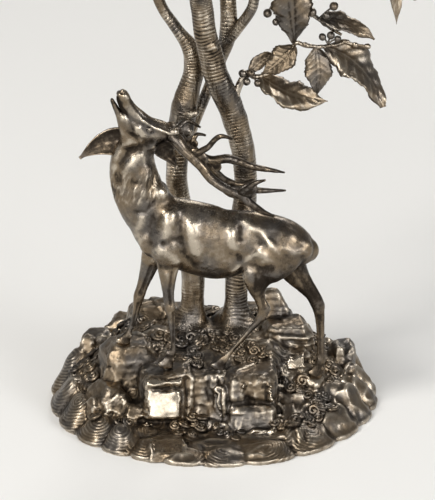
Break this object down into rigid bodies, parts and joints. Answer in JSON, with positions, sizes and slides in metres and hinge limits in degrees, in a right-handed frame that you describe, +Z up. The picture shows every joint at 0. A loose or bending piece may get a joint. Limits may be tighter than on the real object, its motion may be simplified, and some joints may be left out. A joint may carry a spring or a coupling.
{
  "type": "table centerpiece",
  "caption": "Silver-plated stag on a rocky scalloped base beneath a tree of crossing trunks, leafy sprays and a ring that holds a lift-out glass bowl.",
  "frame": {"origin": "on the table, under the middle of the object's box", "axes": "+Z up the tree, -Y towards the side where the stag stands, +X towards the stag's tail"},
  "size_m": [0.301, 0.263, 0.449],
  "materials": {
    "silver": "worn silver plate, warm grey with bright high points",
    "dark_silver": "oxidised silver plate, dark in the hollows",
    "steel": "plain turned steel",
    "glass": "clear polished glass"
  },
  "bodies": {
    "stand": {"base_casting": "dark_silver", "trunk_left": "silver", "trunk_right": "silver", "back_limb": "silver", "side_limb": "silver", "tree_washer_left": "steel", "tree_nut_left": "steel", "tree_washer_right": "steel", "tree_nut_right": "steel", "low_twig": "silver", "upper_twig": "silver", "berries_stub": "dark_silver", "berries_left": "dark_silver", "berries_right": "dark_silver", "berries_twig": "dark_silver", "leaf_low": "silver", "leaf_curled": "silver", "leaf_small": "silver", "leaf_hanging": "silver", "leaf_large": "silver", "leaf_upper": "silver", "leaf_rising": "silver", "stag_body": "silver", "stag_head": "silver", "foreleg_left": "silver", "fore_left_hoof_nut": "steel", "foreleg_right": "silver", "fore_right_hoof_nut": "steel", "hindleg_left": "silver", "hind_left_hoof_nut": "steel", "hindleg_right": "silver", "hind_right_hoof_nut": "steel", "tail": "silver", "ear_left": "silver", "ear_right": "silver", "antler_left": "silver", "antler_right": "silver", "bowl_ring": "silver", "crown_spray_1": "silver", "crown_spray_2": "silver", "crown_spray_3": "silver", "crown_spray_4": "silver", "crown_spray_5": "silver", "crown_spray_6": "silver"},
    "bowl": {"glass_bowl": "glass"}
  },
  "joints": [
    {"name": "bowl_lift", "type": "slide", "parent": "stand", "child": "bowl", "axis": [0, 0, 1], "range_m": [0, 0.07]}
  ]
}
